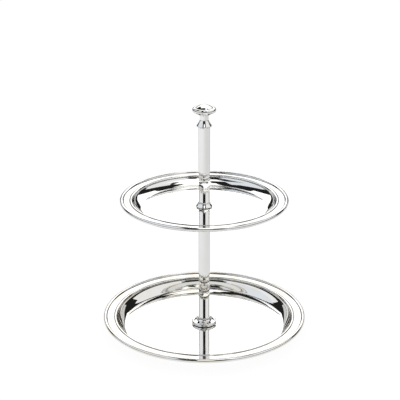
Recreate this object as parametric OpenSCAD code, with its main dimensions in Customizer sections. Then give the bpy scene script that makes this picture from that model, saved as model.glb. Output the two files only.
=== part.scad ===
// Two-tier cake stand: two dished trays clamped on a turned column with a knob on top.
// Origin at the centre of the four feet, on the surface that the stand rests on, +Z up.

/* [Lower tray] */
// Overall diameter over the rolled edge
lower_tray_d = 250; // [200:1:320]
// Depth of the well, from the middle of the rolled edge to the floor
lower_well_depth = 12.6; // [9:0.1:25]
// Width of the flange between the rolled edge and the inner bead
lower_flange_w = 8; // [4:0.1:16]
// How far the wall runs inwards on its way down to the floor
lower_wall_run = 9.1; // [6:0.1:20]

/* [Upper tray] */
// Overall diameter over the rolled edge
upper_tray_d = 202; // [150:1:260]
// Depth of the well, from the middle of the rolled edge to the floor
upper_well_depth = 9.2; // [8:0.1:25]
// Width of the flange between the rolled edge and the inner bead
upper_flange_w = 6.4; // [4:0.1:16]
// How far the wall runs inwards on its way down to the floor
upper_wall_run = 10.4; // [6:0.1:20]

/* [Sheet and border] */
// Thickness of the tray sheet
sheet_t = 1; // [0.8:0.05:1.2]
// Width of the rolled edge
edge_bead_w = 4.8; // [4.2:0.1:8]
// Width of the inner bead at the top of the wall
inner_bead_w = 4.2; // [3.6:0.1:7]
// Height of the flange above the rolled edge's middle
flange_rise = 0.6; // [0.2:0.05:1]
// Height of the inner bead above the flange
inner_bead_rise = 0.7; // [0.6:0.05:1.4]

/* [Column] */
// Height from the lower tray's floor to the upper tray's floor
tier_spacing = 155.6; // [110:0.1:240]
// Length of the tube above the upper tray
upper_tube_l = 98.8; // [60:0.1:160]
// Outer diameter of both tubes
tube_d = 13.5; // [12:0.1:18]
// Wall of both tubes
tube_wall = 1.2; // [0.8:0.05:1.6]
// Length of the threaded plugs in the tube ends
insert_l = 14; // [12:0.5:24]
// Largest diameter of the foot flange
foot_flange_d = 30.8; // [24:0.1:46]
// Height of the foot flange
foot_flange_h = 8.4; // [6:0.1:14]
// Thickness of the foot flange's rounded edge
foot_flange_edge = 3.6; // [2:0.1:4.4]
// Largest diameter of the collar on the upper tray
collar_d = 20.2; // [18.8:0.1:34]
// Height of the collar on the upper tray
collar_h = 5.8; // [4:0.1:12]
// Thickness of the collar's thin edge
collar_edge = 0.9; // [0.6:0.1:1.6]

/* [Knob] */
// Largest diameter of the knob's head
knob_d = 27.8; // [24:0.1:40]
// Overall height of the knob
knob_h = 26.5; // [24:0.1:36]
// Diameter of the knob's neck
knob_neck_d = 10; // [9.6:0.1:14]
// Diameter of the knob's base
knob_base_d = 17.8; // [15:0.1:24]
// Radius of the head's rounded rim
knob_rim_r = 2.7; // [1.8:0.1:3.2]
// Slope of the head's underside
knob_under_slope = 27; // [15:1:40]

/* [Fasteners] */
// Diameter of the threads
thread_d = 6; // [5:0.5:7]
// Radial clearance of a running thread
thread_clearance = 0.05; // [0.02:0.01:0.1]
// Radial clearance of plain holes around the threads
hole_clearance = 0.3; // [0.2:0.05:0.5]
// Length of thread that is engaged when all is tight
engagement = 9; // [7:0.5:11]
// Depth that a stud is fixed in its own piece
stud_seat = 9.5; // [7:0.5:11]
// Diameter of the nylon gaskets
gasket_d = 17; // [14:0.1:18.4]
// Thickness of the nylon gaskets
gasket_t = 0.6; // [0.4:0.1:1]
// Diameter of the steel washers
washer_d = 19; // [15:0.1:26]
// Thickness of the steel washers
washer_t = 1; // [0.6:0.1:1.6]
// Diameter of the split lock washer
lock_washer_d = 11.8; // [10:0.1:13.5]
// Thickness of the split lock washer
lock_washer_t = 1; // [0.8:0.1:1.4]
// Gap in the split lock washer
lock_gap = 0.9; // [0.6:0.1:1.5]
// Diameter of the base screw's head
screw_head_d = 14; // [11:0.1:18]
// Height of the base screw's head
screw_head_h = 1.6; // [1.2:0.1:2.4]
// Width of the slot in the screw's head
slot_w = 1.6; // [1:0.1:2.4]
// Depth of the slot in the screw's head
slot_depth = 0.8; // [0.5:0.1:1]

/* [Feet] */
// Height of the rubber feet
foot_h = 5; // [4.8:0.1:12]
// Largest diameter of a foot
foot_d = 14; // [8:0.1:22]
// How much smaller a foot is at its flat bottom
foot_taper = 3; // [1:0.1:5]
// Distance from the edge of the tray's floor to the middle of a foot
foot_inset = 18; // [10:0.5:40]

/* [Hidden] */
$fn = 96;

foot_count = 4;
clearance_hole_d = thread_d + 2 * hole_clearance;
tapped_hole_d = thread_d + 2 * thread_clearance;
tube_bore_d = tube_d - 2 * tube_wall;

// Heights, from the table upwards
lower_floor_z = foot_h + sheet_t;
lower_column_z = lower_floor_z + gasket_t;
upper_floor_z = lower_floor_z + tier_spacing;
upper_tray_under_z = upper_floor_z - sheet_t;
support_washer_z = upper_tray_under_z - gasket_t - washer_t;
lower_tube_l = support_washer_z - lower_column_z;
upper_column_z = upper_floor_z + gasket_t;
knob_washer_z = upper_column_z + upper_tube_l;
knob_z = knob_washer_z + gasket_t;

// Heights below the lower tray, down to the screw's head
clamp_washer_z = foot_h - gasket_t - washer_t;
lock_washer_z = clamp_washer_z - lock_washer_t;
screw_head_z = lock_washer_z - screw_head_h;

// The curled end of the rolled edge, and the steps that its round stretches are drawn in
curl_end = -105;
bead_steps = 19;
small_steps = 8;
corner_steps = 4;
corner_r = 0.6 * sheet_t;

// How steeply the wall leaves the inner bead, and how softly it meets the floor
wall_lip = 4;
floor_ease = 1.6;

function lower_floor_r() =
    lower_tray_d / 2 - edge_bead_w - lower_flange_w - inner_bead_w - lower_wall_run;

// ---------- curves and outlines ----------

// Points on an arc about c, from angle a0 to a1
function arc(c, r, a0, a1, steps) =
    [for (i = [0 : steps]) let (a = a0 + (a1 - a0) * i / steps) c + r * [cos(a), sin(a)]];

// Points on a cubic curve after its first point
function curve(p0, p1, p2, p3, steps) =
    [for (i = [1 : steps]) let (t = i / steps, s = 1 - t)
        s * s * s * p0 + 3 * s * s * t * p1 + 3 * s * t * t * p2 + t * t * t * p3];

function after_first(points) = [for (i = [1 : len(points) - 1]) points[i]];

function unit(v) = v / norm(v);
function left_of(v) = [-v.y, v.x];

// Point i of a path, moved sideways by d and mitred where two stretches meet
function beside(path, i, d) =
    let (
        last = len(path) - 1,
        before = max(i, 1),
        after = min(i, last - 1),
        a = left_of(unit(path[before] - path[before - 1])),
        b = left_of(unit(path[after + 1] - path[after])),
        m = unit(a + b)
    )
    path[i] + m * d / (m * a);

// Outline of a sheet of thickness t whose middle follows a path
function sheet_outline(path, t) = concat(
    [for (i = [0 : len(path) - 1]) beside(path, i, t / 2)],
    [for (i = [len(path) - 1 : -1 : 0]) beside(path, i, -t / 2)]
);

// Middle of the tray sheet, from the curled edge to the centre hole, with the floor's top at height 0
function tray_path(d, flange_w, wall_run, well_depth) =
    let (
        edge_r = edge_bead_w / 2 - sheet_t / 2,
        edge_c = [d / 2 - edge_bead_w / 2, well_depth],
        flange_z = well_depth + flange_rise - sheet_t / 2,
        corner_up = flange_z + corner_r - edge_c.y,
        corner_turn = asin(corner_up / (edge_r + corner_r)),
        corner_c = edge_c + [-(edge_r + corner_r) * cos(corner_turn), corner_up],
        bead_r = inner_bead_w / 2 - sheet_t / 2,
        bead_c = [
            d / 2 - edge_bead_w - flange_w - inner_bead_w / 2,
            flange_z + inner_bead_rise - bead_r
        ],
        bead_start = asin((flange_z - bead_c.y) / bead_r),
        wall_top = bead_c - [bead_r, 0],
        wall_foot = [d / 2 - edge_bead_w - flange_w - inner_bead_w - wall_run, -sheet_t / 2]
    )
    concat(
        arc(edge_c, edge_r, curl_end, 180 - corner_turn, bead_steps),
        after_first(arc(corner_c, corner_r, -corner_turn, -90, corner_steps)),
        arc(bead_c, bead_r, bead_start, 180, small_steps),
        curve(wall_top, wall_top - [0.3, wall_lip], wall_foot + [floor_ease, 0], wall_foot, small_steps + 2),
        [[clearance_hole_d / 2, -sheet_t / 2]]
    );

module tray(d, flange_w, wall_run, well_depth)
    rotate_extrude()
        polygon(sheet_outline(tray_path(d, flange_w, wall_run, well_depth), sheet_t));

// ---------- pieces that repeat ----------

module ring(outer_d, inner_d, h)
    difference() {
        cylinder(d = outer_d, h = h);
        translate([0, 0, -1]) cylinder(d = inner_d, h = h + 2);
    }

module gasket() color("whitesmoke") ring(gasket_d, clearance_hole_d, gasket_t);

module flat_washer() color("lightgray") ring(washer_d, clearance_hole_d, washer_t);

// Turned flare that widens from the tube to a rounded edge. The edge's round ends at edge_end degrees.
// From there the outline leaves along lean and reaches the tube's side above waist, both as shares
// of the width and the height that are left.
module flare(outer_d, h, edge, edge_end, lean, waist) {
    top_r = tube_d / 2 + 0.5;
    top_z = h - 0.3;
    edge_c = [outer_d / 2 - edge / 2, edge / 2];
    start = edge_c + edge / 2 * [cos(edge_end), sin(edge_end)];
    spread = start.x - top_r;
    rise = top_z - start.y;
    rotate_extrude() polygon(concat(
        [[tube_d / 2, 0]],
        arc(edge_c, edge / 2, -90, edge_end, small_steps),
        curve(
            start,
            start + [-lean.x * spread, lean.y * rise],
            [top_r, start.y + waist * rise],
            [top_r, top_z],
            small_steps
        ),
        [[top_r - 0.25, h], [tube_d / 2, h]]
    ));
}

// Threaded plug that fills a tube's bore, tapped from its lower face to the given depth
module insert(hole_depth)
    color("goldenrod")
        difference() {
            cylinder(d = tube_bore_d, h = insert_l);
            translate([0, 0, -1]) cylinder(d = tapped_hole_d, h = hole_depth + 1);
        }

// Plain rod in place of a threaded stud, with chamfered ends
module stud(l) {
    chamfer = 0.6;
    color("gainsboro")
        rotate_extrude() polygon([
            [0, 0], [thread_d / 2 - chamfer, 0], [thread_d / 2, chamfer],
            [thread_d / 2, l - chamfer], [thread_d / 2 - chamfer, l], [0, l]
        ]);
}

// ---------- base ----------

module lower_tray()
    color("silver")
        translate([0, 0, lower_floor_z])
            tray(lower_tray_d, lower_flange_w, lower_wall_run, lower_well_depth);

module rubber_feet() {
    foot_round = 0.8;
    color("dimgray")
        for (i = [0 : foot_count - 1])
            rotate([0, 0, (i + 0.5) * 360 / foot_count])
                translate([lower_floor_r() - foot_inset, 0, 0])
                    rotate_extrude() polygon(concat(
                        [[0, 0]],
                        arc([foot_d / 2 - foot_taper / 2 - foot_round, foot_round],
                            foot_round, -90, 0, corner_steps),
                        [[foot_d / 2, foot_h], [0, foot_h]]
                    ));
}

module base_screw()
    color("gainsboro")
        translate([0, 0, screw_head_z]) {
            difference() {
                cylinder(d = screw_head_d, h = screw_head_h);
                translate([-screw_head_d, -slot_w / 2, -1])
                    cube([2 * screw_head_d, slot_w, slot_depth + 1]);
            }
            cylinder(d = thread_d, h = lower_column_z + engagement - screw_head_z);
        }

module lock_washer()
    color("darkgray")
        translate([0, 0, lock_washer_z])
            difference() {
                ring(lock_washer_d, clearance_hole_d, lock_washer_t);
                translate([0, -lock_gap / 2, -1])
                    cube([lock_washer_d, lock_gap, lock_washer_t + 2]);
            }

module clamp_washer() translate([0, 0, clamp_washer_z]) flat_washer();

module lower_tray_bottom_gasket() translate([0, 0, foot_h - gasket_t]) gasket();

module lower_tray_top_gasket() translate([0, 0, lower_floor_z]) gasket();

// ---------- lower column ----------

module foot_flange()
    color("silver")
        translate([0, 0, lower_column_z])
            flare(foot_flange_d, foot_flange_h, foot_flange_edge, 130, [0.4, 0.18], 0.28);

module lower_tube()
    color("silver") translate([0, 0, lower_column_z]) ring(tube_d, tube_bore_d, lower_tube_l);

module lower_tube_bottom_insert() translate([0, 0, lower_column_z]) insert(insert_l + 1);

module lower_tube_top_insert()
    translate([0, 0, support_washer_z]) mirror([0, 0, 1]) insert(stud_seat);

module joint_stud()
    translate([0, 0, support_washer_z - stud_seat])
        stud(stud_seat + upper_column_z - support_washer_z + engagement);

module support_washer() translate([0, 0, support_washer_z]) flat_washer();

module upper_tray_bottom_gasket() translate([0, 0, upper_tray_under_z - gasket_t]) gasket();

// ---------- upper tray and upper column ----------

module upper_tray()
    color("silver")
        translate([0, 0, upper_floor_z])
            tray(upper_tray_d, upper_flange_w, upper_wall_run, upper_well_depth);

module upper_tray_top_gasket() translate([0, 0, upper_floor_z]) gasket();

module upper_collar()
    color("silver")
        translate([0, 0, upper_column_z]) flare(collar_d, collar_h, collar_edge, 30, [0.5, 0.4], 0.62);

module upper_tube()
    color("silver") translate([0, 0, upper_column_z]) ring(tube_d, tube_bore_d, upper_tube_l);

module upper_tube_bottom_insert() translate([0, 0, upper_column_z]) insert(insert_l + 1);

module upper_tube_top_insert()
    translate([0, 0, knob_washer_z - insert_l]) insert(insert_l + 1);

// ---------- knob ----------

module knob_washer()
    color("whitesmoke")
        translate([0, 0, knob_washer_z]) ring(tube_d, clearance_hole_d, gasket_t);

module knob_stud()
    translate([0, 0, knob_washer_z - engagement]) stud(engagement + gasket_t + stud_seat);

// Turned knob: a flared base, a neck, and a head with a rounded rim and a domed top
module knob() {
    base_r = knob_base_d / 2;
    neck_r = knob_neck_d / 2;
    base_round = 0.9;
    base_lean = 35;
    base_c = [base_r - base_round, base_round];
    base_top = base_c + base_round * [cos(base_lean), sin(base_lean)];
    neck_foot = 0.3 * knob_h;
    neck_z = 0.46 * knob_h;
    rim_end = 120;
    rim_c = [knob_d / 2 - knob_rim_r, knob_h - 6.3];
    rim_under = rim_c + knob_rim_r * [sin(knob_under_slope), -cos(knob_under_slope)];
    under_in = [neck_r + 1, rim_under.y - (rim_under.x - neck_r - 1) * tan(knob_under_slope)];
    dome_r = rim_c.x + knob_rim_r * cos(rim_end);
    dome_z = rim_c.y + knob_rim_r * sin(rim_end);
    dome_rise = knob_h - dome_z;
    dome_curve_r = (dome_r * dome_r + dome_rise * dome_rise) / (2 * dome_rise);
    dome_c = [0, knob_h - dome_curve_r];
    dome_start = atan2(dome_z - dome_c.y, dome_r);
    color("silver")
        translate([0, 0, knob_z])
            difference() {
                rotate_extrude() polygon(concat(
                    [[0, 0]],
                    arc(base_c, base_round, -90, base_lean, corner_steps),
                    curve(base_top, base_top + 2.2 * [-sin(base_lean), cos(base_lean)],
                        [neck_r + 0.75, neck_foot - 2.1], [neck_r, neck_foot], small_steps),
                    [[neck_r, neck_z]],
                    curve([neck_r, neck_z], [neck_r, neck_z + 1.2], [neck_r, under_in.y - 0.5],
                        under_in, corner_steps),
                    arc(rim_c, knob_rim_r, knob_under_slope - 90, rim_end, small_steps + 4),
                    arc(dome_c, dome_curve_r, dome_start, 89, small_steps + 2),
                    [[0, knob_h]]
                ));
                translate([0, 0, -1]) cylinder(d = tapped_hole_d, h = stud_seat + 1);
            }
}

lower_tray();
rubber_feet();
base_screw();
lock_washer();
clamp_washer();
lower_tray_bottom_gasket();
lower_tray_top_gasket();
foot_flange();
lower_tube();
lower_tube_bottom_insert();
lower_tube_top_insert();
joint_stud();
support_washer();
upper_tray_bottom_gasket();
upper_tray();
upper_tray_top_gasket();
upper_collar();
upper_tube();
upper_tube_bottom_insert();
upper_tube_top_insert();
knob_washer();
knob_stud();
knob();
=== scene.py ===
"""Two-tier cake stand: two spun silver trays on a polished column with a turned knob."""
import math

import bmesh
import bpy
from mathutils import Matrix, Vector


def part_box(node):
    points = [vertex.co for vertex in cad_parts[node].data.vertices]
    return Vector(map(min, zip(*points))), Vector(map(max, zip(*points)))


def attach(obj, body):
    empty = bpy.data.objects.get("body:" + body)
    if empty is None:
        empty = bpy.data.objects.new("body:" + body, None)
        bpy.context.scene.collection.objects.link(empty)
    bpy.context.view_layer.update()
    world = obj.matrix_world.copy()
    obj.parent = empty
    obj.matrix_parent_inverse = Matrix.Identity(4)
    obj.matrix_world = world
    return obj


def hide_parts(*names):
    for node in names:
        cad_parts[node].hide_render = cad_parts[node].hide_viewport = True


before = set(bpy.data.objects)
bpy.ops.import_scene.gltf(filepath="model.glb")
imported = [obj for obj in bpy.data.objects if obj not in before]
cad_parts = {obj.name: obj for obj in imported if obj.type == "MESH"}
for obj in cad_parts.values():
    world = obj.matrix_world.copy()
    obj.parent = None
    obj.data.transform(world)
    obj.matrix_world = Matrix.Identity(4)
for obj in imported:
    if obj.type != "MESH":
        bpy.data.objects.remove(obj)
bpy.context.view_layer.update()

MM = 0.001
SPINDLE = 1.0  # radius in mm of the ring that an outline is swept round

# Sizes in mm that the boxes of the CAD nodes don't give
SHEET = 1.0
EDGE_BEAD_W, INNER_BEAD_W = 4.8, 4.2
FLANGE_RISE, INNER_BEAD_RISE = 0.6, 0.7
CORNER_R, WALL_LIP, FLOOR_EASE = 0.6, 4.0, 1.6
CURL_END = -105  # degrees, where the rolled edge's curl stops under the flange
HOLE_R, TAPPED_R, THREAD_R, THREAD_PITCH = 3.3, 3.05, 3.0, 1.0
STUD_SEAT = 9.5  # depth that a stud is fixed in its own piece
TUBE_R, TUBE_WALL = 6.75, 1.2


def low_high(node):
    """Lowest and highest height and the outer radius of a CAD node, in mm."""
    lo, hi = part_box(node)
    return lo.z / MM, hi.z / MM, min(hi.x - lo.x, hi.y - lo.y) / 2 / MM


# ---------- outlines, as (radius, height) in mm ----------

def arc(centre, radius, start, end, steps):
    """Points on an arc, from one angle to another in degrees."""
    turns = [math.radians(start + (end - start) * i / steps) for i in range(steps + 1)]
    return [(centre[0] + radius * math.cos(a), centre[1] + radius * math.sin(a)) for a in turns]


def sweep_between(a, b, c, d, steps):
    """Points on a cubic curve from a to d, after its first point."""
    out = []
    for i in range(1, steps + 1):
        t = i / steps
        s = 1 - t
        out.append(tuple(s**3 * a[k] + 3 * s * s * t * b[k] + 3 * s * t * t * c[k] + t**3 * d[k]
                         for k in (0, 1)))
    return out


def sheet_round(path, thickness):
    """Closed outline of a sheet whose middle follows a path."""
    pts = [Vector(p) for p in path]
    left = []
    for i, p in enumerate(pts):
        before = (pts[max(i, 1)] - pts[max(i, 1) - 1]).normalized()
        j = min(i, len(pts) - 2)
        after = (pts[j + 1] - pts[j]).normalized()
        a, b = Vector((-before.y, before.x)), Vector((-after.y, after.x))
        mid = (a + b).normalized()
        left.append(mid / mid.dot(a) * thickness / 2)
    upper = [p + n for p, n in zip(pts, left)]
    lower = [p - n for p, n in zip(pts, left)]
    return [tuple(p) for p in upper + lower[::-1]]


def held_flat(outline, closed, reach=0.25):
    """The outline with extra points near both ends of each long straight stretch, so it shades flat."""
    out = []
    last = len(outline) if closed else len(outline) - 1
    for i, p in enumerate(outline):
        out.append(p)
        if i == last:
            break
        q = outline[(i + 1) % len(outline)]
        length = math.dist(p, q)
        if length > 5 * reach:
            for share in (reach / length, 1 - reach / length):
                out.append((p[0] + (q[0] - p[0]) * share, p[1] + (q[1] - p[1]) * share))
    return out


def tray_middle(outer_r, flange_w, wall_run, depth, floor_z):
    """Middle of a tray's sheet, from its curled edge over flange, bead and wall to the centre hole."""
    edge_r = (EDGE_BEAD_W - SHEET) / 2
    edge = (outer_r - EDGE_BEAD_W / 2, floor_z + depth)
    flange_z = floor_z + depth + FLANGE_RISE - SHEET / 2
    corner_up = flange_z + CORNER_R - edge[1]
    corner = (edge[0] - math.sqrt((edge_r + CORNER_R)**2 - corner_up**2), flange_z + CORNER_R)
    corner_turn = math.degrees(math.asin(corner_up / (edge_r + CORNER_R)))
    bead_r = (INNER_BEAD_W - SHEET) / 2
    bead = (outer_r - EDGE_BEAD_W - flange_w - INNER_BEAD_W / 2,
            flange_z + INNER_BEAD_RISE - bead_r)
    bead_start = math.degrees(math.asin((flange_z - bead[1]) / bead_r))
    top = (bead[0] - bead_r, bead[1])
    foot = (outer_r - EDGE_BEAD_W - flange_w - INNER_BEAD_W - wall_run, floor_z - SHEET / 2)
    return (arc(edge, edge_r, CURL_END, 180 - corner_turn, 38)
            + arc(corner, CORNER_R, -corner_turn, -90, 6)[1:]
            + arc(bead, bead_r, bead_start, 180, 24)
            + sweep_between(top, (top[0] - 0.3, top[1] - WALL_LIP), (foot[0] + FLOOR_EASE, foot[1]),
                            foot, 20)
            + [(HOLE_R, foot[1])])


def flare_outline(bottom, height, outer_r, edge, edge_end, lean, waist):
    """Flare from the tube to a rounded edge, whose round ends at an angle in degrees. The side leaves
    it along lean and is upright above waist, both as shares of the width and height that are left."""
    top = (TUBE_R + 0.5, height - 0.3)
    rounded = arc((outer_r - edge / 2, edge / 2), edge / 2, -90, edge_end, 20)
    start = rounded[-1]
    spread, rise = start[0] - top[0], top[1] - start[1]
    side = sweep_between(start, (start[0] - lean[0] * spread, start[1] + lean[1] * rise),
                         (top[0], start[1] + waist * rise), top, 24)
    pts = ([(TUBE_R, 0)] + rounded + side
           + [(top[0] - 0.08, height - 0.08), (top[0] - 0.25, height), (TUBE_R, height)])
    return [(r, bottom + z) for r, z in pts]


def ring_outline(inner, outer, bottom, top, ease=0.12):
    """Washer, gasket or tube: a ring with eased edges."""
    return (arc((outer - ease, bottom + ease), ease, -90, 0, 3)
            + arc((outer - ease, top - ease), ease, 0, 90, 3)
            + arc((inner + ease, top - ease), ease, 90, 180, 3)
            + arc((inner + ease, bottom + ease), ease, 180, 270, 3))


def rod_outline(radius, bottom, top, chamfer=0.6, rings=0.125):
    """Solid rod with chamfered ends and many rings, from axis to axis, ready for its thread."""
    count = round((top - bottom - 2 * chamfer) / rings)
    side = [(radius, bottom + chamfer + (top - bottom - 2 * chamfer) * i / count)
            for i in range(count + 1)]
    return ([(0, bottom), (radius - chamfer, bottom)] + side + [(radius - chamfer, top), (0, top)])


def knob_outline(bottom, height, head_r):
    """Knob from the blind hole in its base, over base, neck and rim, to the top of its dome."""
    base_r, base_round, base_lean = 8.9, 0.9, 35
    neck_r, neck_foot, neck_top = 5.0, 0.3 * height, 0.46 * height
    rim_r, rim_end, under_slope, dome_end = 2.7, 120, math.radians(27), 89.2

    base = arc((base_r - base_round, base_round), base_round, -90, base_lean, 10)
    lean = math.radians(base_lean)
    above_base = (base[-1][0] - 2.2 * math.sin(lean), base[-1][1] + 2.2 * math.cos(lean))
    rim = (head_r - rim_r, height - 6.3)
    under_rim = (rim[0] + rim_r * math.sin(under_slope), rim[1] - rim_r * math.cos(under_slope))
    under_in = (neck_r + 1, under_rim[1] - (under_rim[0] - neck_r - 1) * math.tan(under_slope))
    head = arc(rim, rim_r, math.degrees(under_slope) - 90, rim_end, 24)
    dome_r, dome_z = head[-1]
    rise = height - dome_z
    dome_curve = (dome_r**2 + rise**2) / (2 * rise)
    dome_start = math.degrees(math.atan2(dome_z - height + dome_curve, dome_r))
    pts = ([(0, STUD_SEAT), (TAPPED_R, STUD_SEAT), (TAPPED_R, 0)] + base
           + sweep_between(base[-1], above_base, (neck_r + 0.75, neck_foot - 2.1),
                           (neck_r, neck_foot), 24)
           + [(neck_r, neck_top)]
           + sweep_between((neck_r, neck_top), (neck_r, neck_top + 1.2), (neck_r, under_in[1] - 0.5),
                           under_in, 8)
           + head + arc((0, height - dome_curve), dome_curve, dome_start, dome_end, 24)
           + [(0, height)])
    return [(r, bottom + z) for r, z in pts]


# ---------- node trees that make the turned and repeated pieces ----------

def start_tree(name, sizes):
    """A geometry tree with a Shape input, the named sizes and a Finish input, and its input node."""
    tree = bpy.data.node_groups.new(name, "GeometryNodeTree")
    face = tree.interface
    face.new_socket("Shape", in_out="INPUT", socket_type="NodeSocketGeometry")
    for size, (kind, value) in sizes.items():
        face.new_socket(size, in_out="INPUT", socket_type=kind).default_value = value
    face.new_socket("Finish", in_out="INPUT", socket_type="NodeSocketMaterial")
    face.new_socket("Shape", in_out="OUTPUT", socket_type="NodeSocketGeometry")
    return tree, tree.nodes.new("NodeGroupInput")


def end_tree(tree, given, made):
    """Ends a tree: real geometry, smooth, with its finish."""
    real = tree.nodes.new("GeometryNodeRealizeInstances")
    smooth = tree.nodes.new("GeometryNodeSetShadeSmooth")
    finish = tree.nodes.new("GeometryNodeSetMaterial")
    out = tree.nodes.new("NodeGroupOutput")
    link = tree.links.new
    link(made, real.inputs["Geometry"])
    link(real.outputs["Geometry"], smooth.inputs["Geometry"])
    link(smooth.outputs["Geometry"], finish.inputs["Geometry"])
    link(given.outputs["Finish"], finish.inputs["Material"])
    link(finish.outputs["Geometry"], out.inputs["Shape"])
    return tree


def maths(tree, operation, *values):
    """A Math node whose inputs are sockets or numbers. Returns its output."""
    node = tree.nodes.new("ShaderNodeMath")
    node.operation = operation
    for i, v in enumerate(values):
        if isinstance(v, bpy.types.NodeSocket):
            tree.links.new(v, node.inputs[i])
        else:
            node.inputs[i].default_value = v
    return node.outputs[0]


def turning_tree():
    """Turns an outline round the vertical axis."""
    tree, given = start_tree("turn_on_axis", {"Segments": ("NodeSocketInt", 96),
                                              "Spindle Radius": ("NodeSocketFloat", SPINDLE * MM)})
    outline = tree.nodes.new("GeometryNodeMeshToCurve")
    circle = tree.nodes.new("GeometryNodeCurvePrimitiveCircle")
    swept = tree.nodes.new("GeometryNodeCurveToMesh")
    link = tree.links.new
    link(given.outputs["Shape"], outline.inputs["Mesh"])
    link(given.outputs["Segments"], circle.inputs["Resolution"])
    link(given.outputs["Spindle Radius"], circle.inputs["Radius"])
    link(circle.outputs["Curve"], swept.inputs["Curve"])
    link(outline.outputs["Curve"], swept.inputs["Profile Curve"])
    return end_tree(tree, given, swept.outputs["Mesh"])


def held_between(tree, low, value, high):
    """A value kept between two others."""
    return maths(tree, "MINIMUM", high, maths(tree, "MAXIMUM", low, value))


def thread_tree():
    """Cuts a V thread into the round wall of one radius, between two heights."""
    wall_tolerance, run_out, nearest = 0.08 * MM, 0.6 * MM, 0.01 * MM
    tree, given = start_tree("cut_thread", {
        "Wall Radius": ("NodeSocketFloat", THREAD_R * MM),
        "Pitch": ("NodeSocketFloat", THREAD_PITCH * MM), "Depth": ("NodeSocketFloat", 0.5 * MM),
        "Start": ("NodeSocketFloat", 0.0), "End": ("NodeSocketFloat", 0.01)})
    nodes, link = tree.nodes, tree.links.new
    here = nodes.new("GeometryNodeInputPosition")
    apart = nodes.new("ShaderNodeSeparateXYZ")
    link(here.outputs[0], apart.inputs[0])
    x, y, z = apart.outputs
    size = given.outputs
    radius = maths(tree, "SQRT", maths(tree, "ADD", maths(tree, "MULTIPLY", x, x),
                                       maths(tree, "MULTIPLY", y, y)))
    turn = maths(tree, "DIVIDE", maths(tree, "ARCTAN2", y, x), 2 * math.pi)
    phase = maths(tree, "FRACT", maths(
        tree, "SUBTRACT", maths(tree, "DIVIDE", z, size["Pitch"]), turn))
    groove = maths(tree, "SUBTRACT", 1.0, maths(tree, "MULTIPLY", 2.0, maths(
        tree, "ABSOLUTE", maths(tree, "SUBTRACT", phase, 0.5))))
    groove = held_between(tree, 0.0, maths(
        tree, "SUBTRACT", maths(tree, "MULTIPLY", groove, 1.3), 0.15), 1.0)
    on_wall = maths(tree, "COMPARE", radius, size["Wall Radius"], wall_tolerance)
    runs_in = held_between(tree, 0.0, maths(
        tree, "DIVIDE", maths(tree, "SUBTRACT", z, size["Start"]), run_out), 1.0)
    runs_out = held_between(tree, 0.0, maths(
        tree, "DIVIDE", maths(tree, "SUBTRACT", size["End"], z), run_out), 1.0)
    cut = maths(tree, "MULTIPLY", maths(tree, "MULTIPLY", groove, size["Depth"]), maths(
        tree, "MULTIPLY", on_wall, maths(tree, "MULTIPLY", runs_in, runs_out)))
    inwards = maths(tree, "DIVIDE", maths(tree, "MULTIPLY", cut, -1.0), maths(
        tree, "MAXIMUM", radius, nearest))
    shift = nodes.new("ShaderNodeCombineXYZ")
    link(maths(tree, "MULTIPLY", x, inwards), shift.inputs[0])
    link(maths(tree, "MULTIPLY", y, inwards), shift.inputs[1])
    moved = nodes.new("GeometryNodeSetPosition")
    link(size["Shape"], moved.inputs["Geometry"])
    link(shift.outputs[0], moved.inputs["Offset"])
    return end_tree(tree, given, moved.outputs["Geometry"])


def feet_tree():
    """Sets copies of a foot on a circle, the first one between the +X and +Y axes."""
    tree, given = start_tree("set_of_feet", {"Count": ("NodeSocketInt", 4),
                                             "Circle Radius": ("NodeSocketFloat", 0.08)})
    nodes, link = tree.nodes, tree.links.new
    circle = nodes.new("GeometryNodeMeshCircle")
    turned = nodes.new("GeometryNodeTransform")
    place = nodes.new("GeometryNodeInstanceOnPoints")
    turned.inputs["Rotation"].default_value = (0, 0, math.pi / 4)
    link(given.outputs["Count"], circle.inputs["Vertices"])
    link(given.outputs["Circle Radius"], circle.inputs["Radius"])
    link(circle.outputs["Mesh"], turned.inputs["Geometry"])
    link(turned.outputs["Geometry"], place.inputs["Points"])
    link(given.outputs["Shape"], place.inputs["Instance"])
    return end_tree(tree, given, place.outputs["Instances"])


TURN, THREAD, FEET = turning_tree(), thread_tree(), feet_tree()


def apply_tree(obj, tree, sizes):
    """Adds a tree to a piece as a modifier, with its inputs set by identifier."""
    modifier = obj.modifiers.new(tree.name, "NODES")
    modifier.node_group = tree
    for item in tree.interface.items_tree:
        if item.in_out == "INPUT" and item.name in sizes:
            modifier[item.identifier] = sizes[item.name]


def close_up(mesh):
    """Merges seams and poles, turns the faces outwards and keeps real corners sharp."""
    bm = bmesh.new()
    bm.from_mesh(mesh)
    bmesh.ops.remove_doubles(bm, verts=bm.verts, dist=1e-6)
    bmesh.ops.dissolve_degenerate(bm, dist=1e-7, edges=bm.edges)
    bmesh.ops.recalc_face_normals(bm, faces=bm.faces)
    for face in bm.faces:
        face.smooth = True
    bm.to_mesh(mesh)
    bm.free()
    mesh.set_sharp_from_angle(angle=math.radians(38))


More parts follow.
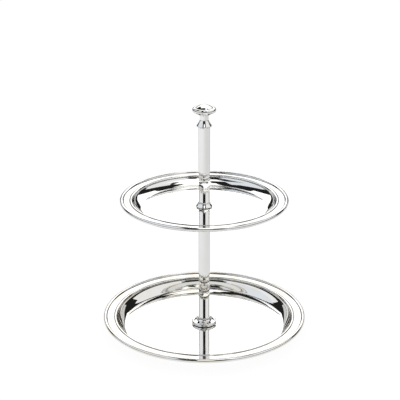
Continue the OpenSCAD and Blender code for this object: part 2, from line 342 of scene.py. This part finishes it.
def turned(name, node, outline, body, slot, finish, closed=True, segments=96, more=()):
    """A piece turned from its outline, with any further trees, that stands for its CAD node."""
    pts = held_flat(outline, closed)
    mesh = bpy.data.meshes.new(name + "_outline")
    edges = [(i, i + 1) for i in range(len(pts) - 1)] + ([(len(pts) - 1, 0)] if closed else [])
    mesh.from_pydata([((r - SPINDLE) * MM, -z * MM, 0) for r, z in pts], edges, [])
    blank = bpy.data.objects.new(name + "_blank", mesh)
    bpy.context.scene.collection.objects.link(blank)
    apply_tree(blank, TURN, {"Segments": segments, "Finish": finish})
    for tree, sizes in more:
        apply_tree(blank, tree, {**sizes, "Finish": finish})
    seen = blank.evaluated_get(bpy.context.evaluated_depsgraph_get())
    made = bpy.data.meshes.new_from_object(seen)
    bpy.data.objects.remove(blank)
    close_up(made)
    piece = bpy.data.objects.new(name, made)
    made.name = name
    bpy.context.scene.collection.objects.link(piece)
    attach(piece, body)
    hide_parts(node)
    return piece


# ---------- finishes ----------

class Finish:
    """A material with its shader, and short ways to add nodes to it."""

    def __init__(self, name, colour, metallic, roughness):
        self.material = bpy.data.materials.new(name)
        self.material.use_nodes = True
        self.nodes = self.material.node_tree.nodes
        self.link = self.material.node_tree.links.new
        self.shader = self.nodes["Principled BSDF"]
        self.shader.inputs["Base Color"].default_value = (*colour, 1)
        self.shader.inputs["Metallic"].default_value = metallic
        self.shader.inputs["Roughness"].default_value = roughness
        self.place = self.nodes.new("ShaderNodeTexCoord").outputs["Object"]
        self.material.diffuse_color = (*colour, 1)

    def maths(self, operation, *values):
        return maths(self.material.node_tree, operation, *values)

    def axes(self):
        apart = self.nodes.new("ShaderNodeSeparateXYZ")
        self.link(self.place, apart.inputs[0])
        return apart.outputs

    def from_axis(self):
        """Distance from the vertical axis, in metres."""
        x, y, _ = self.axes()
        squares = self.maths("ADD", self.maths("MULTIPLY", x, x), self.maths("MULTIPLY", y, y))
        return self.maths("SQRT", squares)

    def noise(self, scale, detail=2.0, roughness=0.5, along=None):
        node = self.nodes.new("ShaderNodeTexNoise")
        node.inputs["Scale"].default_value = scale
        node.inputs["Detail"].default_value = detail
        node.inputs["Roughness"].default_value = roughness
        if along is None:
            self.link(self.place, node.inputs["Vector"])
        else:
            node.noise_dimensions = "1D"
            self.link(along, node.inputs["W"])
        return node.outputs[0]

    def spread(self, value, low, high, to_low, to_high, smooth=True):
        node = self.nodes.new("ShaderNodeMapRange")
        node.interpolation_type = "SMOOTHSTEP" if smooth else "LINEAR"
        for i, v in enumerate((low, high, to_low, to_high), 1):
            node.inputs[i].default_value = v
        self.link(value, node.inputs[0])
        return node.outputs[0]

    def mix(self, share, first, second):
        node = self.nodes.new("ShaderNodeMix")
        node.data_type = "RGBA"
        self.link(share, node.inputs["Factor"])
        for name, colour in (("A", first), ("B", second)):
            socket = [s for s in node.inputs if s.name == name and s.type == "RGBA"][0]
            if isinstance(colour, bpy.types.NodeSocket):
                self.link(colour, socket)
            else:
                socket.default_value = (*colour, 1)
        return [s for s in node.outputs if s.type == "RGBA"][0]

    def give(self, name, value):
        self.link(value, self.shader.inputs[name])

    def bump(self, layers):
        """Bump from (height, strength, distance) layers, one over the other."""
        normal = None
        for height, strength, distance in layers:
            node = self.nodes.new("ShaderNodeBump")
            node.inputs["Strength"].default_value = strength
            node.inputs["Distance"].default_value = distance
            self.link(height, node.inputs["Height"])
            if normal is not None:
                self.link(normal, node.inputs["Normal"])
            normal = node.outputs[0]
        self.give("Normal", normal)


def polished_silver(name, clean, aged, aging, waves, streaks, aging_from=None, tarnish_and_shade_rings=()):
    """Mirror-polished silver with wiping marks, smudges, slight waves, a warm tone where it ages, and
    dark rings in its creases that are tarnish and painted shade.
    """
    f = Finish(name, clean, 1.0, 0.05)
    cloud = f.noise(38.0, 3.0, 0.55)
    fine = f.noise(240.0, 3.0, 0.6)
    share = f.maths("ADD", f.spread(cloud, 0.35, 0.68, 0.0, 0.7),
                    f.spread(fine, 0.5, 0.8, 0.0, 0.3))
    if aging_from is not None:
        share = f.maths("MULTIPLY", share, f.spread(f.from_axis(), *aging_from, 0.0, 1.0))
    colour = f.mix(f.maths("MULTIPLY", share, aging), clean, aged)
    # painted shade: each ring darkens the colour in a crease where the mirror shows a dark line, over
    # the tarnish there
    for middle, half, depth, lowest in tarnish_and_shade_rings:
        away = f.maths("ABSOLUTE", f.maths("SUBTRACT", f.from_axis(), middle * MM))
        dark = f.spread(away, 0.5 * half * MM, half * MM, depth, 0.0)
        dark = f.maths("MULTIPLY", dark, f.maths("GREATER_THAN", f.axes()[2], lowest * MM))
        dark = f.maths("MULTIPLY", dark, f.spread(f.noise(70.0, 2.0), 0.3, 0.6, 0.55, 1.0))
        colour = f.mix(dark, colour, (0.09, 0.085, 0.075))
    f.give("Base Color", colour)
    smudge = f.noise(26.0, 4.0, 0.6)
    rough = f.spread(smudge, 0.42, 0.72, 0.028, 0.075)
    turning = f.noise(2600.0, 1.0, 0.5, along=f.from_axis())
    f.give("Roughness", f.maths("ADD", rough, f.maths("MULTIPLY", turning, 0.012)))
    f.bump([(f.noise(17.0, 1.0, 0.4), waves, 0.002), (turning, streaks, 0.00002)])
    return f.material


def zinc_plate(name):
    """Bright zinc plating with a fine spangle and faint turning marks."""
    f = Finish(name, (0.66, 0.66, 0.67), 1.0, 0.3)
    f.give("Base Color", f.mix(f.spread(f.noise(420.0, 3.0), 0.35, 0.7, 0.0, 1.0),
                               (0.63, 0.64, 0.66), (0.71, 0.69, 0.62)))
    f.give("Roughness", f.spread(f.noise(900.0, 2.0), 0.3, 0.7, 0.2, 0.42))
    f.bump([(f.noise(2400.0, 1.0, along=f.from_axis()), 0.25, 0.00003),
            (f.noise(1500.0), 0.1, 0.00003)])
    return f.material


def hardened_spring_steel(name):
    """Dark oil-hardened spring steel with a bluish cast and rubbed high spots."""
    f = Finish(name, (0.36, 0.35, 0.34), 1.0, 0.38)
    f.give("Base Color", f.mix(f.spread(f.noise(500.0, 4.0, 0.6), 0.45, 0.75, 0.0, 1.0),
                               (0.29, 0.29, 0.31), (0.46, 0.44, 0.41)))
    f.give("Roughness", f.spread(f.noise(700.0, 3.0), 0.3, 0.7, 0.3, 0.5))
    f.bump([(f.noise(1800.0, 2.0), 0.2, 0.00003)])
    return f.material


def turned_brass(name):
    """Brass with the fine rings of a lathe tool and a little tarnish."""
    f = Finish(name, (0.78, 0.62, 0.34), 1.0, 0.24)
    f.give("Base Color", f.mix(f.spread(f.noise(300.0, 3.0, 0.6), 0.4, 0.75, 0.0, 1.0),
                               (0.8, 0.64, 0.36), (0.6, 0.44, 0.22)))
    rings = f.noise(5200.0, 1.0, along=f.from_axis())
    f.give("Roughness", f.spread(rings, 0.3, 0.7, 0.18, 0.32))
    f.bump([(rings, 0.3, 0.00003)])
    return f.material


def natural_nylon(name):
    """Milky nylon, a little uneven, with a soft sheen."""
    f = Finish(name, (0.9, 0.89, 0.84), 0.0, 0.42)
    f.give("Base Color", f.mix(f.spread(f.noise(260.0, 3.0), 0.35, 0.7, 0.0, 1.0),
                               (0.9, 0.89, 0.84), (0.84, 0.82, 0.75)))
    f.give("Roughness", f.spread(f.noise(900.0), 0.3, 0.7, 0.36, 0.5))
    f.bump([(f.noise(1600.0, 2.0), 0.15, 0.00004)])
    return f.material


def matt_rubber(name):
    """Black rubber with a fine moulded grain and a grey bloom."""
    f = Finish(name, (0.05, 0.05, 0.05), 0.0, 0.75)
    f.give("Base Color", f.mix(f.spread(f.noise(330.0, 4.0, 0.6), 0.45, 0.8, 0.0, 1.0),
                               (0.045, 0.045, 0.047), (0.11, 0.11, 0.108)))
    f.give("Roughness", f.spread(f.noise(1200.0), 0.3, 0.7, 0.66, 0.86))
    f.bump([(f.noise(3200.0, 3.0, 0.6), 0.35, 0.00006)])
    return f.material


# tarnish_and_shade_rings: rings in the creases whose colour is darkened as tarnish and painted shade,
# given as radius, half width in mm, how dark the ring is, and the lowest height it is seen at
tray_silver = polished_silver(
    "polished_tray_silver", (0.93, 0.93, 0.92), (0.89, 0.87, 0.82), 0.6, 0.05, 0.12,
    aging_from=(0.07, 0.085), tarnish_and_shade_rings=[(89.1, 1.0, 0.85, 0), (96.6, 0.7, 0.35, 0)])
warm_tray_silver = polished_silver(
    "warm_lower_tray_silver", (0.94, 0.935, 0.92), (0.91, 0.86, 0.74), 0.9, 0.05, 0.12,
    aging_from=(0.09, 0.108), tarnish_and_shade_rings=[(111.5, 1.0, 0.7, 0), (120.6, 0.7, 0.35, 0)])
tube_silver = polished_silver(
    "polished_tube_silver", (0.93, 0.925, 0.915), (0.86, 0.84, 0.79), 0.4, 0.03, 0.05)
# the knob's ring is painted shade on the crease at the foot of its dome, over tarnish
knob_silver = polished_silver(
    "polished_knob_silver", (0.93, 0.925, 0.91), (0.87, 0.85, 0.79), 0.5, 0.03, 0.12,
    tarnish_and_shade_rings=[(9.9, 0.7, 0.75, 280)])
zinc = zinc_plate("bright_zinc_plate")
spring_steel = hardened_spring_steel("dark_spring_steel")
brass = turned_brass("lathe_turned_brass")
nylon = natural_nylon("natural_nylon")
rubber = matt_rubber("matt_black_rubber")


# ---------- trays ----------

def spun_tray(node, body, finish, flange_w, wall_run, depth):
    """Tray of one sheet; depth is from the middle of its rolled edge down to its floor."""
    _, high, outer_r = low_high(node)
    floor_z = high - EDGE_BEAD_W / 2 - depth
    middle = tray_middle(outer_r, flange_w, wall_run, depth, floor_z)
    return turned(node + "_spun", node, sheet_round(middle, SHEET), body, "silver_tray", finish,
                  segments=240)


spun_tray("lower_tray", "base", warm_tray_silver, 8.0, 9.1, 12.6)
spun_tray("upper_tray", "upper_tray", tray_silver, 6.4, 10.4, 9.2)


# ---------- column ----------

def drawn_tube(node, body):
    """Tube of the column, its ends a little eased."""
    low, high, outer_r = low_high(node)
    turned(node + "_drawn", node, ring_outline(TUBE_R - TUBE_WALL, outer_r, low, high, 0.15), body,
           "silver_column", tube_silver, segments=128)


def turned_flare(node, body, *shape):
    """Flared ring round a tube's foot, with the shape that flare_outline takes."""
    low, high, outer_r = low_high(node)
    turned(node + "_turned", node, flare_outline(low, high - low, outer_r, *shape), body,
           "silver_column", tube_silver, segments=160)


drawn_tube("lower_tube", "lower_column")
turned_flare("foot_flange", "lower_column", 3.6, 130, (0.4, 0.18), 0.28)
drawn_tube("upper_tube", "upper_column")
turned_flare("upper_collar", "upper_column", 0.9, 30, (0.5, 0.4), 0.62)

low, high, outer_r = low_high("knob")
turned("knob_turned", "knob", knob_outline(low, high - low, outer_r), "knob", "silver_knob",
       knob_silver, closed=False, segments=160)


# ---------- fasteners ----------

def threaded_plug(node, body, blind=False):
    """Brass plug in a tube's end, with a countersunk tapped hole, right through or blind from above."""
    low, high, outer_r = low_high(node)
    chamfer, countersink, rings = 0.4, 0.5, 112
    wall = [(TAPPED_R, low + countersink + (high - low - 2 * countersink) * i / rings)
            for i in range(rings + 1)]
    outside = [(outer_r - chamfer, low), (outer_r, low + chamfer), (outer_r, high - chamfer),
               (outer_r - chamfer, high), (TAPPED_R + countersink, high)]
    if blind:
        wall = [p for p in wall if p[1] > high - STUD_SEAT]
        outline = ([(0, low)] + outside + wall[::-1]
                   + [(TAPPED_R, high - STUD_SEAT), (0, high - STUD_SEAT)])
    else:
        outline = outside + wall[::-1] + [(TAPPED_R + countersink, low)]
    thread = {"Wall Radius": TAPPED_R * MM, "Depth": -0.4 * MM, "Start": wall[0][1] * MM,
              "End": wall[-1][1] * MM}
    turned(node + "_tapped", node, outline, body, "insert_brass", brass, closed=not blind,
           segments=48, more=[(THREAD, thread)])


def threaded_stud(node, body):
    """Headless screw, threaded over its whole length."""
    low, high, _ = low_high(node)
    thread = {"Start": (low + 0.6) * MM, "End": (high - 0.6) * MM}
    turned(node + "_threaded", node, rod_outline(THREAD_R, low, high), body, "plated_steel", zinc,
           closed=False, segments=48, more=[(THREAD, thread)])


def flat_ring(node, body, slot, finish, inner=HOLE_R, ease=0.12):
    """Washer or gasket."""
    low, high, outer_r = low_high(node)
    turned(node + "_ring", node, ring_outline(inner, outer_r, low, high, ease), body, slot, finish,
           segments=96)


threaded_plug("lower_tube_bottom_insert", "lower_column")
threaded_plug("lower_tube_top_insert", "lower_column", blind=True)
threaded_plug("upper_tube_bottom_insert", "upper_column")
threaded_plug("upper_tube_top_insert", "upper_column")
threaded_stud("joint_stud", "lower_column")
threaded_stud("knob_stud", "knob")
flat_ring("clamp_washer", "base", "plated_steel", zinc, ease=0.2)
flat_ring("support_washer", "lower_column", "plated_steel", zinc, ease=0.2)
flat_ring("lower_tray_bottom_gasket", "base", "nylon", nylon)
flat_ring("lower_tray_top_gasket", "lower_gasket", "nylon", nylon)
flat_ring("upper_tray_bottom_gasket", "lower_column", "nylon", nylon)
flat_ring("upper_tray_top_gasket", "upper_gasket", "nylon", nylon)
flat_ring("knob_washer", "knob_washer", "nylon", nylon)


def slotted_screw(node, body):
    """Screw with a low domed head below the tray, a driver slot across it and its thread above."""
    low, high, head_r = low_high(node)
    head_h, slot_w, slot_depth = 1.6, 1.6, 0.8
    shank = rod_outline(THREAD_R, low + head_h - 0.6, high)[2:]
    outline = ([(0, low)] + arc((head_r - 0.7, low + 0.7), 0.7, -90, 0, 6)
               + arc((head_r - 0.15, low + head_h - 0.15), 0.15, 0, 90, 3)
               + [(THREAD_R, low + head_h)] + [p for p in shank if p[1] > low + head_h + 0.05])
    thread = {"Start": (low + head_h + 1.0) * MM, "End": (high - 0.6) * MM}
    screw = turned(node + "_slotted", node, outline, body, "plated_steel", zinc, closed=False,
                   segments=64, more=[(THREAD, thread)])
    bm = bmesh.new()
    bmesh.ops.create_cube(bm, size=1.0)
    size = Vector((3 * head_r * MM, slot_w * MM, slot_depth * 2 * MM))
    bmesh.ops.transform(bm, matrix=Matrix.Translation((0, 0, low * MM)) @ Matrix.Diagonal((*size, 1)),
                        verts=bm.verts)
    cutter_mesh = bpy.data.meshes.new("slot_cutter")
    bm.to_mesh(cutter_mesh)
    bm.free()
    cutter = bpy.data.objects.new("slot_cutter", cutter_mesh)
    bpy.context.scene.collection.objects.link(cutter)
    cut = screw.modifiers.new("slot", "BOOLEAN")
    cut.operation, cut.solver, cut.object = "DIFFERENCE", "EXACT", cutter
    made = bpy.data.meshes.new_from_object(
        screw.evaluated_get(bpy.context.evaluated_depsgraph_get()))
    screw.modifiers.clear()
    screw.data = made
    made.materials.clear()
    made.materials.append(zinc)
    bpy.data.objects.remove(cutter)
    close_up(made)


slotted_screw("base_screw", "base")
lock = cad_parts["lock_washer"]
for i in range(len(lock.data.materials)):
    lock.data.materials[i] = spring_steel


# ---------- feet ----------

FOOT_R, FOOT_COUNT = 7.0, 4
# flat sole with a sunk moulding ring, a rounded edge, and a side that widens up to the tray
foot = ([(0, 0), (1.2, 0.0), (1.5, 0.25), (2.6, 0.25), (2.9, 0.0)]
        + arc((4.7, 0.8), 0.8, -90, -20, 6) + [(FOOT_R - 0.08, 4.75), (FOOT_R - 0.25, 5.0), (0, 5.0)])
foot_circle = (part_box("rubber_feet")[1].x / MM - FOOT_R) / math.cos(math.pi / FOOT_COUNT)
turned("rubber_feet_moulded", "rubber_feet", foot, "base", "foot_rubber", rubber, closed=False,
       segments=48, more=[(FEET, {"Count": FOOT_COUNT, "Circle Radius": foot_circle * MM})])


# ---------- studio ----------

ROOM, KNOB_HEAD = Vector((0, 0, 0.15)), Vector((0, 0, 0.28))  # middles that the cards stand round


def glow(name, colour, strength, right=None):
    """A glowing surface for the room's cards. Its strength may change towards +X."""
    material = bpy.data.materials.new(name)
    material.use_nodes = True
    nodes = material.node_tree.nodes
    nodes.clear()
    light = nodes.new("ShaderNodeEmission")
    light.inputs["Color"].default_value = (*colour, 1)
    light.inputs["Strength"].default_value = strength
    if right is not None:
        place = nodes.new("ShaderNodeTexCoord")
        apart = nodes.new("ShaderNodeSeparateXYZ")
        ramp = nodes.new("ShaderNodeMapRange")
        for i, v in enumerate((-0.5, 0.5, strength, right), 1):
            ramp.inputs[i].default_value = v
        material.node_tree.links.new(place.outputs["Object"], apart.inputs[0])
        material.node_tree.links.new(apart.outputs[0], ramp.inputs[0])
        material.node_tree.links.new(ramp.outputs[0], light.inputs["Strength"])
    material.node_tree.links.new(light.outputs[0], nodes.new("ShaderNodeOutputMaterial").inputs[0])
    return material


def seen_in_gloss_only(obj):
    """The card shows only in the reflections on the stand."""
    obj.visible_camera = obj.visible_shadow = obj.visible_diffuse = False


def stage_mesh(name, points, faces, material):
    mesh = bpy.data.meshes.new(name)
    mesh.from_pydata(points, [], faces)
    mesh.materials.append(material)
    obj = bpy.data.objects.new(name, mesh)
    bpy.context.scene.collection.objects.link(obj)
    return obj


def curved_card(name, across, up, steps, place, colour, strength):
    """A glowing card on a curved surface: place turns two of its measures into a point."""
    points = [place(across[0] + (across[1] - across[0]) * i / steps[0],
                    up[0] + (up[1] - up[0]) * j / steps[1])
              for j in range(steps[1] + 1) for i in range(steps[0] + 1)]
    w = steps[0] + 1
    faces = [(j * w + i, j * w + i + 1, (j + 1) * w + i + 1, (j + 1) * w + i)
             for j in range(steps[1]) for i in range(steps[0])]
    seen_in_gloss_only(stage_mesh(name, points, faces, glow(name + "_glow", colour, strength)))


def room_card(name, bearings, heights, distance, colour, strength):
    """Part of a sphere round the stand, between two bearings (0 in front, 90 at +X) and two heights."""
    def place(bearing, height):
        az, el = math.radians(bearing), math.radians(height)
        return ROOM + distance * Vector((math.sin(az) * math.cos(el), -math.cos(az) * math.cos(el),
                                         math.sin(el)))

    curved_card(name, bearings, heights, (32, 16), place, colour, strength)


def overhead_strip(name, across, along, distance, colour, strength, centre=ROOM):
    """A strip softbox above the stand; its sides are on a map of the sky with the zenith at 0, 0."""
    def place(x, y):
        return centre + distance * Vector((x, y, math.sqrt(1 - x * x - y * y)))

    curved_card(name, across, along, (12, 12), place, colour, strength)


def table_part(name, side, inner, outer, height, colour, strength, right=None):
    """Part of the table top round the stand, between two bearings as for the room's cards."""
    around = 96
    pts = []
    for r in (inner, outer):
        for i in range(around + 1):
            az = math.radians(side[0] + (side[1] - side[0]) * i / around)
            pts.append((r * math.sin(az), -r * math.cos(az), height))
    faces = [(i, i + 1, around + 2 + i, around + 1 + i) for i in range(around)]
    seen_in_gloss_only(stage_mesh(name, pts, faces, glow(name + "_glow", colour, strength, right)))


WHITE, WARM_WHITE, DAYLIGHT = (1, 1, 1), (1, 0.99, 0.97), (0.98, 0.99, 1.0)
SOFT_GREY, PALE_GREY, SKY_GREY = (0.86, 0.86, 0.87), (0.86, 0.87, 0.89), (0.76, 0.80, 0.86)

room_card("dark_room", (-180, 180), (-89.9, 89.9), 5.0, WHITE, 0.015)
room_card("back_wall", (142, 218), (17, 46), 3.6, WHITE, 1.4)
room_card("back_wall_foot", (171, 189), (11, 17.2), 3.6, WHITE, 1.4)
room_card("back_wall_low_left", (196, 231), (1.5, 9), 3.6, PALE_GREY, 0.7)
room_card("back_wall_low_right", (129, 164), (1.5, 9), 3.6, PALE_GREY, 0.7)
room_card("left_panel_low", (-120, -27), (14, 27), 3.6, PALE_GREY, 1.0)
room_card("left_panel_high", (-122, -33), (27, 60), 3.6, SKY_GREY, 1.0)
room_card("right_panel_low", (27, 113), (14, 27), 3.6, SOFT_GREY, 1.0)
room_card("right_panel_high", (33, 122), (27, 62), 3.6, SOFT_GREY, 1.0)
room_card("front_panel_low", (-27.2, 27.2), (12, 18), 3.6, PALE_GREY, 0.8)
overhead_strip("overhead_front", (-0.08, 0.36), (-0.42, 0.22), 3.4, WARM_WHITE, 1.3)
overhead_strip("overhead_low_front", (-0.1, 0.16), (-0.68, -0.42), 3.4, WARM_WHITE, 1.3)
overhead_strip("overhead_back", (-0.13, 0.22), (0.2, 0.52), 3.45, WHITE, 1.3)
overhead_strip("left_panel_top", (-0.6, -0.30), (-0.42, 0.26), 3.5, SKY_GREY, 1.0)

# small cards close over the knob, which only its head mirrors
overhead_strip("knob_shade", (-0.36, 0.7), (0.1, 0.71), 0.1, WHITE, 1.2, KNOB_HEAD)
overhead_strip("knob_flag", (-0.75, 0.16), (-0.3, 0.09), 0.1, WHITE, 0.02, KNOB_HEAD)
overhead_strip("knob_side_flag", (-0.75, -0.38), (0.09, 0.64), 0.1, WHITE, 0.02, KNOB_HEAD)

table_part("table_sheen", (-155, 150), 0.0, 1.1, 0.0005, DAYLIGHT, 0.9, 0.72)
table_part("table_sheen_far", (-155, 150), 1.09, 1.9, 0.0004, DAYLIGHT, 0.8)
table_part("table_far", (-180, 180), 0.0, 4.9, 0.0003, (0.02, 0.02, 0.02), 1.0)

floor = stage_mesh("floor", [(-60, -60, 0), (60, -60, 0), (60, 60, 0), (-60, 60, 0)], [(0, 1, 2, 3)],
                   bpy.data.materials.new("pale_floor"))
floor.visible_glossy = False
pale = floor.data.materials[0]
pale.use_nodes = True
shade = pale.node_tree.nodes["Principled BSDF"]
shade.inputs["Base Color"].default_value = (0.1, 0.1, 0.1, 1)
shade.inputs["Roughness"].default_value = 1.0
shade.inputs["Specular IOR Level"].default_value = 0.0
shade.inputs["Emission Color"].default_value = (1, 1, 1, 1)
shade.inputs["Emission Strength"].default_value = 0.92

scene = bpy.context.scene
world = bpy.data.worlds.new("bright_studio")
world.use_nodes = True
world.node_tree.nodes["Background"].inputs["Color"].default_value = (1, 1, 1, 1)
scene.world = world
scene.view_settings.view_transform = "Standard"

lens = bpy.data.cameras.new("camera")
lens.sensor_width = 36
lens.lens = 99.87
lens.shift_x = -0.0105
lens.clip_start, lens.clip_end = 0.05, 200
camera = bpy.data.objects.new("camera", lens)
scene.collection.objects.link(camera)
camera.location = (0, -1.2488, 0.6324)
camera.rotation_euler = (math.radians(90 - 20.334), 0, 0)
scene.camera = camera
